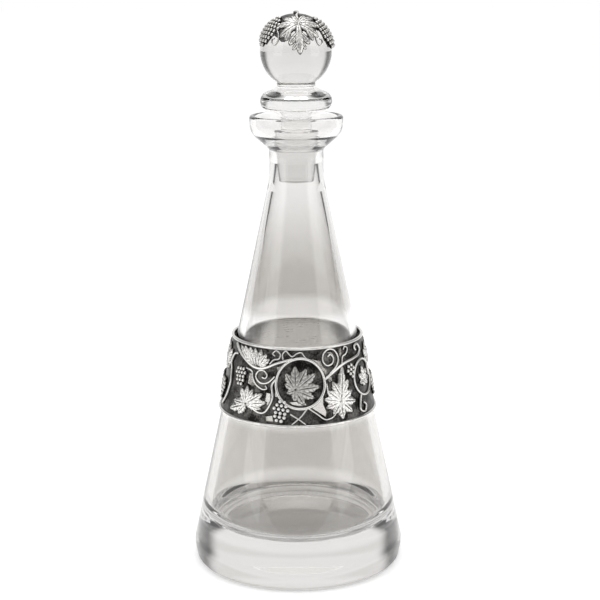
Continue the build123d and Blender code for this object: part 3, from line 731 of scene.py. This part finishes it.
# Each stem: its width where it starts, its width where it ends, and its route.
STEMS = [
    (2.2, 1.7, [(-46, 42.6), (-42, 39.3), (-34.1, 35.1), (-28.7, 32.7), (-23.1, 31.9),
                (-18.1, 33.2), (-13, 35.5), (-7.9, 37.2), (-2.8, 38.5)]),
    (1.9, 1.4, [(16.2, 26.6), (22, 30), (29.9, 33.5), (39.4, 35), (44.6, 35.9), (47.5, 38.6),
                (44.9, 42.0), (41.2, 41.0), (42.2, 38.9)]),
    (1.6, 1.2, [(-12.6, 26.6), (-14.6, 23.4), (-13.8, 16.9), (-15.4, 11.7), (-18, 7.9),
                (-21.6, 7.4), (-26.2, 9.4), (-29.6, 11)]),
    (1.6, 1.2, [(-42.6, 37.2), (-47, 36), (-49.8, 31), (-47.6, 26), (-46.8, 19), (-49.4, 11),
                (-54, 5)]),
    (1.4, 1.1, [(55, 21.4), (54.5, 27), (56.4, 30.2), (58.5, 31)]),
    (1.4, 1.1, [(41.2, 13.6), (39.2, 9.4), (38.6, 5.2), (42.4, 3.4), (44.4, 6.6), (42.2, 8.6)]),
    (1.3, 1.0, [(16.8, 24), (17.8, 17.8), (21.4, 14.4), (24.8, 13.4)]),
]
# Each ring: its centre, radius and width.
RINGS = [((1.8, 24.8), 14.0, 1.9), ((47.0, 22.4), 10.2, 1.5)]
# Each tendril: its width where it starts, and its route.
TENDRILS = [
    (1.3, [(19.4, 29.2), (24.2, 32.8), (26.1, 37.4), (24.2, 41.6), (20.2, 43), (16.4, 40.8),
           (15.6, 36.8), (18, 34), (21.4, 34.6), (22.8, 37.4), (21, 39.8), (18.8, 38.8)]),
    (1.3, [(-13.2, 28.4), (-17.2, 24.6), (-22, 24), (-25.2, 27), (-24, 30.2), (-20.4, 31),
           (-18, 28.8), (-19, 26.8), (-21.2, 27.2)]),
    (1.2, [(-33.4, 30.8), (-28.4, 29.6), (-27.2, 26), (-24.6, 22.6), (-20.4, 20.6),
           (-17.6, 21.2), (-18.6, 22.8)]),
    (1.1, [(-16.8, 35), (-14.4, 37.6), (-11.2, 38.4), (-10.4, 41), (-13, 42.8), (-15.2, 41),
           (-13.6, 39.8)]),
    (1.1, [(-8.6, 38.2), (-9, 41), (-7, 43), (-5.2, 41.4), (-3, 39.9), (-0.3, 41.6), (2.6, 42),
           (4.6, 39.6), (7.2, 37.6)]),
    (1.1, [(-3.8, 7.9), (0.5, 5.2), (4.2, 2.2)]),
    (1.1, [(5.4, 11.4), (1.8, 6.5), (-2.9, 2.2)]),
    (1.1, [(5.8, 11.2), (10.4, 7.6), (14.6, 4.2), (18.6, 4.6), (20.9, 6.6)]),
    (1.1, [(28.5, 33.8), (29.6, 37.4), (32.6, 38.6), (34.4, 41.4), (32.4, 42.8), (30.8, 41.2)]),
]
vine = Relief(on_band)
for start, end, route in STEMS:
    add_stem(vine, route, start, end, STEM_HEIGHT)
for (x, y), radius, width in RINGS:
    angles = [2 * math.pi * n / RING_POINTS for n in range(RING_POINTS)]
    route = [(x + radius * math.cos(angle), y + radius * math.sin(angle)) for angle in angles]
    add_stem(vine, route, width, width, RING_HEIGHT, closed=True)
for width, route in TENDRILS:
    add_stem(vine, route, width, width * TENDRIL_TAPER, TENDRIL_HEIGHT)
front_and_back(vine, "band_wires", "band_vine")
print("vine points:", len(vine.points))

# %% [markdown]
# The band's leaves and grapes sit between the stems. Each is a piece of its own, as in the frame. The
# leaf inside the large ring lies lower and duller than the others.

# %% The band's leaves and grapes
# Each lobe of a leaf: its root, its tip and half its width.
LEAVES = {
    "upper_left": [
        ((-29, 34.2), (-41.4, 42.6), 2.3), ((-28, 33.8), (-37.2, 43), 2.5),
        ((-26.6, 33.4), (-32.4, 43), 2.7), ((-25.4, 33.2), (-27.8, 43), 2.7),
        ((-24.4, 33.2), (-23, 43), 2.6), ((-23.6, 33.2), (-18.8, 40.8), 2.4),
        ((-23, 33.2), (-16.6, 38), 2.0), ((-23.4, 33), (-18.8, 35), 1.5),
    ],
    "lower_left": [
        ((-30.4, 11), (-35.2, 19.2), 2.7), ((-30.4, 11), (-30.4, 21.2), 2.9),
        ((-30.2, 11), (-26.2, 20), 2.5), ((-30, 11), (-19.8, 18.2), 3.1), ((-30, 11), (-17, 13.4), 2.9),
        ((-30, 11), (-19.7, 9.2), 2.4), ((-30.6, 11), (-40.4, 10.8), 2.9),
        ((-30.6, 10.6), (-42.8, 5.2), 3.2), ((-30.4, 10.6), (-35, 4), 2.6),
    ],
    "ring": [
        ((-1.2, 21.6), (-7.4, 24.8), 2.2), ((-1.2, 21.8), (-7, 30.8), 2.9),
        ((-1, 22), (-1.4, 35), 3.2), ((-0.8, 22), (5.5, 33.4), 3.2), ((-0.6, 22), (11, 30.4), 3.1),
        ((-0.6, 21.6), (13.2, 22.9), 3.2), ((-0.8, 21.4), (9.6, 16.4), 3.0),
        ((-1, 21.2), (3.8, 12.6), 2.6), ((-1.2, 21.2), (-1.4, 14.8), 2.3),
        ((-1.2, 21.4), (-6.2, 19.4), 1.8),
    ],
    "right": [
        ((24.6, 12.6), (28.5, 33.2), 3.4), ((24.8, 16), (20.4, 25.0), 2.8),
        ((25.4, 16), (31.6, 24.4), 2.8), ((24.6, 13.2), (16.6, 20.2), 3.1),
        ((24.6, 13.2), (14.6, 15.4), 3.0), ((24.6, 13), (15.4, 10.4), 2.8),
        ((24.6, 13), (19.4, 5.8), 2.8), ((24.6, 13), (25, 2.6), 3.0), ((24.8, 13), (31.9, 5.5), 3.1),
        ((24.8, 13.2), (35.6, 11.3), 3.3), ((24.8, 13.4), (33.6, 18), 3.0),
    ],
    "side": spread((-56.0, 29.5), 15, 11.5),
    "small_ring": spread((47.0, 20.6), 8, 8.6),
    "edge": spread((58.5, 31.0), 0, 9.5),
}
LOW_LEAF, LOW_THICKNESS, LOW_LEVEL = "ring", 1.0, 0.72
LEAF_THICKNESS, FULLER = 1.5, 1.12
BAND_BERRY, BAND_BERRY_SPACING, BAND_BERRY_LIFT = 1.2, 2.45, 0.5
# Each bunch: its name, its top, its turn in degrees and how many berries are in each row.
BUNCHES = [
    ("front", (-8.2, 14.6), -8, [2, 3, 4, 3, 3, 2]),
    ("left", (-37.2, 29.6), 4, [3, 4, 3, 3, 2]),
    ("right", (34.2, 31.4), 12, [2, 3, 2, 1]),
    ("side", (-58.0, 18.6), 0, [3, 4, 4, 3, 2, 1]),
    ("edge", (61.0, 19.6), 0, [3, 4, 4, 3, 2, 1]),
]
for name, lobes in LEAVES.items():
    leaf = Relief(on_band)
    thickness, level = (LOW_THICKNESS, LOW_LEVEL) if name == LOW_LEAF else (LEAF_THICKNESS, 1.0)
    for root, tip, half in lobes:
        add_lobe(leaf, root, tip, half * FULLER, thickness, level=level)
    front_and_back(leaf, f"band_vine_leaf_{name}", f"band_leaf_{name}")
for name, top, turn, rows in BUNCHES:
    bunch = Relief(on_band)
    add_bunch(bunch, top, turn, rows, BAND_BERRY, BAND_BERRY_SPACING, BAND_BERRY_LIFT)
    front_and_back(bunch, f"band_grape_bunch_{name}", f"band_grapes_{name}")
print(len(LEAVES), "leaves and", len(BUNCHES), "bunches on each half of the band")

# %% [markdown]
# The sleeve, its two bead wires and the thin sheet under the cap are right as they are in the frame, so
# only their finish changes.

# %% The sleeve, the rims and the cap's sheet
for node, material in (("band_sleeve", sleeve_pewter), ("cap_ground", sleeve_pewter),
                       ("band_lower_rim", wire_pewter), ("band_upper_rim", wire_pewter)):
    dress(node, material)
    print(node, "in", material.name)

# %% [markdown]
# The cap on the ball has a leaf with rounded lobes in front and one behind, two bunches of grapes on
# each side, a woody twig over the top and small tendrils between. The leaf's midrib stands up.

# %% The cap
CAP_BERRY, CAP_BERRY_SPACING, CAP_BERRY_LIFT = 1.08, 2.46, 0.45
CAP_LOBE_THICKNESS = 1.05
# Each leaf: its name, its heading and tilt on the ball in degrees, and its size.
CAP_LEAVES = [("front", 5, 43, 1.0), ("back", 185, 43, 0.95)]
CAP_MIDRIB = [(0, 1.5), (0.3, -6), (0.5, -16)]
CAP_LOBES = [
    ((0, 1), (0.6, -17.2), 2.6),
    ((0.1, -5), (-5.6, -11.8), 1.9), ((0.1, -5), (6.2, -11.2), 1.9),
    ((0.3, -10), (-3.8, -14.6), 1.3), ((0.3, -10), (4.2, -14.2), 1.3),
    ((0, 0), (-10.4, -6.2), 2.7), ((0, 0), (11.4, -5.8), 2.7),
    ((-4, -2), (-7.4, -9.2), 1.8), ((4, -2), (8.2, -8.8), 1.8),
    ((0, 0.5), (-11.4, 1.4), 2.6), ((0, 0.5), (12.4, 2.0), 2.6),
    ((0, 1), (-7.6, 6.2), 2.4), ((0, 1), (8.2, 6.8), 2.4),
    ((0, 1), (-2.8, 7.6), 1.8), ((0, 1), (4.0, 7.8), 1.8),
]
# Each bunch: its name, heading, tilt and turn in degrees, its top and its rows.
CAP_BUNCHES = [
    ("left", -60, 56, -4, 9.2, [2, 4, 6, 7, 6, 6, 5, 4, 2]),
    ("right", 68, 60, 8, 9.4, [2, 4, 6, 6, 6, 6, 5, 4, 3]),
    ("back_left", -124, 58, 4, 8.4, [2, 4, 5, 5, 5, 4, 3]),
    ("back_right", 128, 58, -4, 8.4, [2, 4, 5, 5, 5, 4, 3]),
]
CAP_TWIG = [(0.9, -11.5), (0.4, -8), (1.2, -4.4), (-0.6, -1), (1.0, 3), (0.2, 8), (-0.9, 11.5)]
# Each tendril: its heading and tilt in degrees, and 1 or -1 for the way it curls.
CAP_TENDRILS = [(-34, 70, 1), (39, 71, -1), (148, 70, 1), (-144, 70, -1)]
CAP_CURL = [(-0.6, 5.5), (1.2, 2.8), (1.5, -0.4), (-0.1, -2.6), (-2.2, -1.8), (-2.2, 0.4), (-0.8, 0.8)]
for name, heading, tilt, size in CAP_LEAVES:
    leaf = Relief(on_ball(tilt, heading))
    for root, tip, half in CAP_LOBES:
        ends = [(x * size, y * size) for x, y in (root, tip)]
        add_lobe(leaf, *ends, half * size, CAP_LOBE_THICKNESS, ROUNDED)
    add_stem(leaf, [(x, y * size) for x, y in CAP_MIDRIB], 1.1, 0.6, 1.5)
    finish_relief(leaf, f"cap_vine_leaf_{name}", "stopper", f"cap_leaf_{name}")
for name, heading, tilt, turn, top, rows in CAP_BUNCHES:
    bunch = Relief(on_ball(tilt, heading))
    add_bunch(bunch, (0, top), turn, rows, CAP_BERRY, CAP_BERRY_SPACING, CAP_BERRY_LIFT)
    finish_relief(bunch, f"cap_grape_bunch_{name}", "stopper", f"cap_grapes_{name}")
twig = Relief(on_ball(0, 0))
add_stem(twig, CAP_TWIG, 1.7, 1.5, 1.6)
finish_relief(twig, "cap_woody_twig", "stopper", "cap_twig")
curls = Relief(None)
for heading, tilt, side in CAP_TENDRILS:
    curls.ground = on_ball(tilt, heading)
    add_stem(curls, [(x * side, y) for x, y in CAP_CURL], 0.9, 0.7, 0.8)
finish_relief(curls, "cap_curls", "stopper", "cap_tendrils")
print(len(CAP_LEAVES), "leaves,", len(CAP_BUNCHES), "bunches, a twig and the curls on the cap")

# %% [markdown]
# The floor is a large pale sheet that glows a little for the camera, the glass and the metal, so that it
# is white in the picture and still keeps the decanter's shadow.

# %% The floor
FLOOR_RADIUS, FLOOR_POINTS, FLOOR_GLOW = 9000, 96, (0.34, 0.34, 0.34)
NO_GLOW, FLOOR_DARK, FLOOR_LIGHT = (0.0, 0.0, 0.0), (0.90, 0.90, 0.90), (0.92, 0.92, 0.92)


def light_path(finish, output):
    return finish.add("ShaderNodeLightPath", output=output)


def disc(radius, count):
    """The points and the one face of a flat disc on the table's height."""
    angles = [2 * math.pi * n / count for n in range(count)]
    ring = [(radius * math.cos(angle), radius * math.sin(angle), 0) for angle in angles]
    return ring, [tuple(range(count))]


floor_finish = Finish("pale_floor")
floor_colour = blend(floor_finish, grain(floor_finish, 60.0), FLOOR_DARK, FLOOR_LIGHT)
seen = light_path(floor_finish, "Is Camera Ray") + light_path(floor_finish, "Is Glossy Ray")
seen = seen + light_path(floor_finish, "Is Transmission Ray")
glow = blend(floor_finish, seen.limited(), NO_GLOW, FLOOR_GLOW)
floor_finish.set(Base_Color=floor_colour, Roughness=0.9, Specular_IOR_Level=0.0)
floor_finish.set(Emission_Color=glow, Emission_Strength=1.0)
floor = new_piece("floor", *disc(FLOOR_RADIUS, FLOOR_POINTS), [floor_finish.material], smooth=False)
print("floor", FLOOR_RADIUS, "mm in radius")

# %% [markdown]
# The background is white, also where glass and metal show it. Glass on white needs dark edges to be
# seen, so the studio has what a photographer puts there: dark flags on both sides, and a dim room behind
# the camera. They are directions in the world, so they stand in nobody's way. Only glass and metal show
# the flags, the room shows only in reflections, and the light on matt things is even.

# %% The world
FLAG_START, FLAG_END, FLAG_HEIGHT = (0.14, 0.26), (0.62, 0.80), (0.70, 0.92)
FLAG_LEAST, FLAG_DARKNESS = 0.3, 0.92
ROOM_START, ROOM_HEIGHT, ROOM_DARKNESS = (0.66, 0.80), (0.30, 0.60), 0.8
MATT_LEVEL = 0.74


class Studio(Finish):
    """The world has nodes like a material's."""

    def __init__(self, name):
        self.world = bpy.data.worlds.new(name)
        self.world.use_nodes = True
        self.tree = self.world.node_tree
        self.shader = self.tree.nodes["Background"]


studio = Studio("studio")
bpy.context.scene.world = studio.world
way = studio.add("ShaderNodeTexCoord")
forward, upward = [studio.add("ShaderNodeSeparateXYZ", {}, {0: way}, output=n) for n in (1, 2)]
level = (1.0 - upward * upward).math("MAXIMUM", 0.0001).math("SQRT")
ahead = forward.math("DIVIDE", level)
steep, off_side = upward.math("ABSOLUTE"), ahead.math("ABSOLUTE")
flags = smooth_step(studio, off_side, *FLAG_START) * (1.0 - FLAG_LEAST) + FLAG_LEAST
flags = flags * (1.0 - smooth_step(studio, off_side, *FLAG_END))
flags = flags * (1.0 - smooth_step(studio, steep, *FLAG_HEIGHT))
room = smooth_step(studio, ahead * -1.0, *ROOM_START)
room = room * (1.0 - smooth_step(studio, steep, *ROOM_HEIGHT))
room = room * light_path(studio, "Glossy Depth").limited()
shiny = (light_path(studio, "Is Glossy Ray") + light_path(studio, "Is Transmission Ray")).limited()
dimmed = (1.0 - flags * FLAG_DARKNESS - room * ROOM_DARKNESS).limited()
direct = light_path(studio, "Is Camera Ray")
strength = direct + (1.0 - direct) * (shiny * dimmed + (1.0 - shiny) * MATT_LEVEL)
studio.set(Color=(1, 1, 1, 1), Strength=strength)
print("the world has", len(studio.tree.nodes), "nodes")

# %% [markdown]
# Three soft boxes light the object at a plain level, one on each side and one above.

# %% The lamps
LAMP_POWER, AIM = 5, Vector((0, 0, 0.16))


def soft_box(name, spot, width, height):
    data = bpy.data.lights.new(name, "AREA")
    data.shape, data.size, data.size_y, data.energy = "RECTANGLE", width, height, LAMP_POWER
    lamp = bpy.data.objects.new(name, data)
    lamp.location = spot
    lamp.rotation_euler = (AIM - Vector(spot)).to_track_quat("-Z", "Y").to_euler()
    bpy.context.scene.collection.objects.link(lamp)
    print(name, "at", spot)


soft_box("left_box", (-1.2, -0.7, 0.6), 0.8, 1.4)
soft_box("right_box", (1.2, -0.6, 0.6), 0.8, 1.4)
soft_box("top_box", (0, 0.1, 1.5), 0.9, 0.9)

# %% [markdown]
# The camera stands where the photographer's did: 845 mm in front, 355 mm up, looking 13 degrees down
# with a long lens, and turned a hair so that the decanter leans as it does in the photograph.

# %% Camera
CAMERA_SPOT, CAMERA_DIP, CAMERA_ROLL = (1.7, -845.0, 354.9), 13.2, -0.25
LENS, SENSOR = 89.04, 36.0
camera = bpy.data.objects.new("camera", bpy.data.cameras.new("camera"))
camera.data.lens, camera.data.sensor_width = LENS, SENSOR
camera.location = Vector(CAMERA_SPOT) * MM
pitch = Matrix.Rotation(math.radians(90 - CAMERA_DIP), 4, "X")
camera.rotation_euler = (pitch @ Matrix.Rotation(math.radians(CAMERA_ROLL), 4, "Z")).to_euler()
bpy.context.scene.collection.objects.link(camera)
bpy.context.scene.camera = camera
bpy.context.scene.view_settings.view_transform = "Standard"
print("camera at", tuple(camera.location))

# %% Update the scene
bpy.context.view_layer.update()
